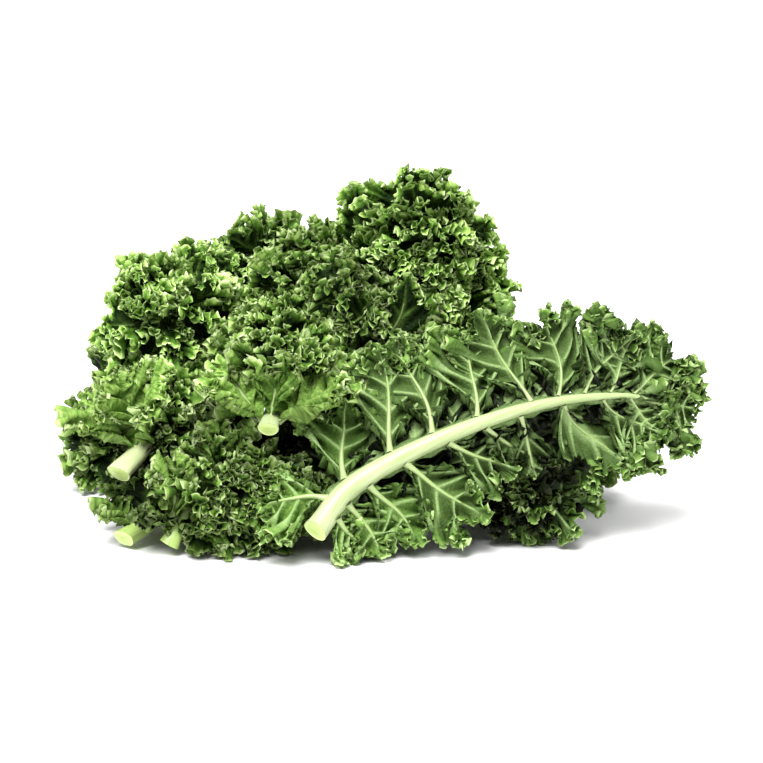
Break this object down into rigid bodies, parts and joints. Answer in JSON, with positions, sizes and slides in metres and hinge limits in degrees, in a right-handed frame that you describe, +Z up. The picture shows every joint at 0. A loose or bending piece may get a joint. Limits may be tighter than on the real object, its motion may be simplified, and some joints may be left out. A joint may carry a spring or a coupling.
{
  "type": "curly kale bunch",
  "caption": "Loose bunch of cut curly kale leaves lying in a heap, with pale stalks, lobed blades and tightly frilled margins",
  "frame": {"origin": "on the surface that the bunch lies on, under the middle of its box", "axes": "+X along the heap, towards the tip of the front leaf; +Y away from the side that the front leaf's underside faces; +Z up"},
  "size_m": [0.4665, 0.2909, 0.2562],
  "materials": {
    "kale_leaf": "satin"
  },
  "bodies": {
    "root": {"leaf_front": "kale_leaf", "leaf_low_right": "kale_leaf", "leaf_low_middle": "kale_leaf", "leaf_low_left": "kale_leaf", "leaf_inner": "kale_leaf", "leaf_back_left": "kale_leaf", "leaf_back_right": "kale_leaf", "leaf_left": "kale_leaf", "leaf_centre": "kale_leaf", "leaf_middle": "kale_leaf", "leaf_upper_left": "kale_leaf", "leaf_upper_middle": "kale_leaf", "leaf_crown": "kale_leaf", "leaf_back": "kale_leaf"}
  },
  "joints": []
}
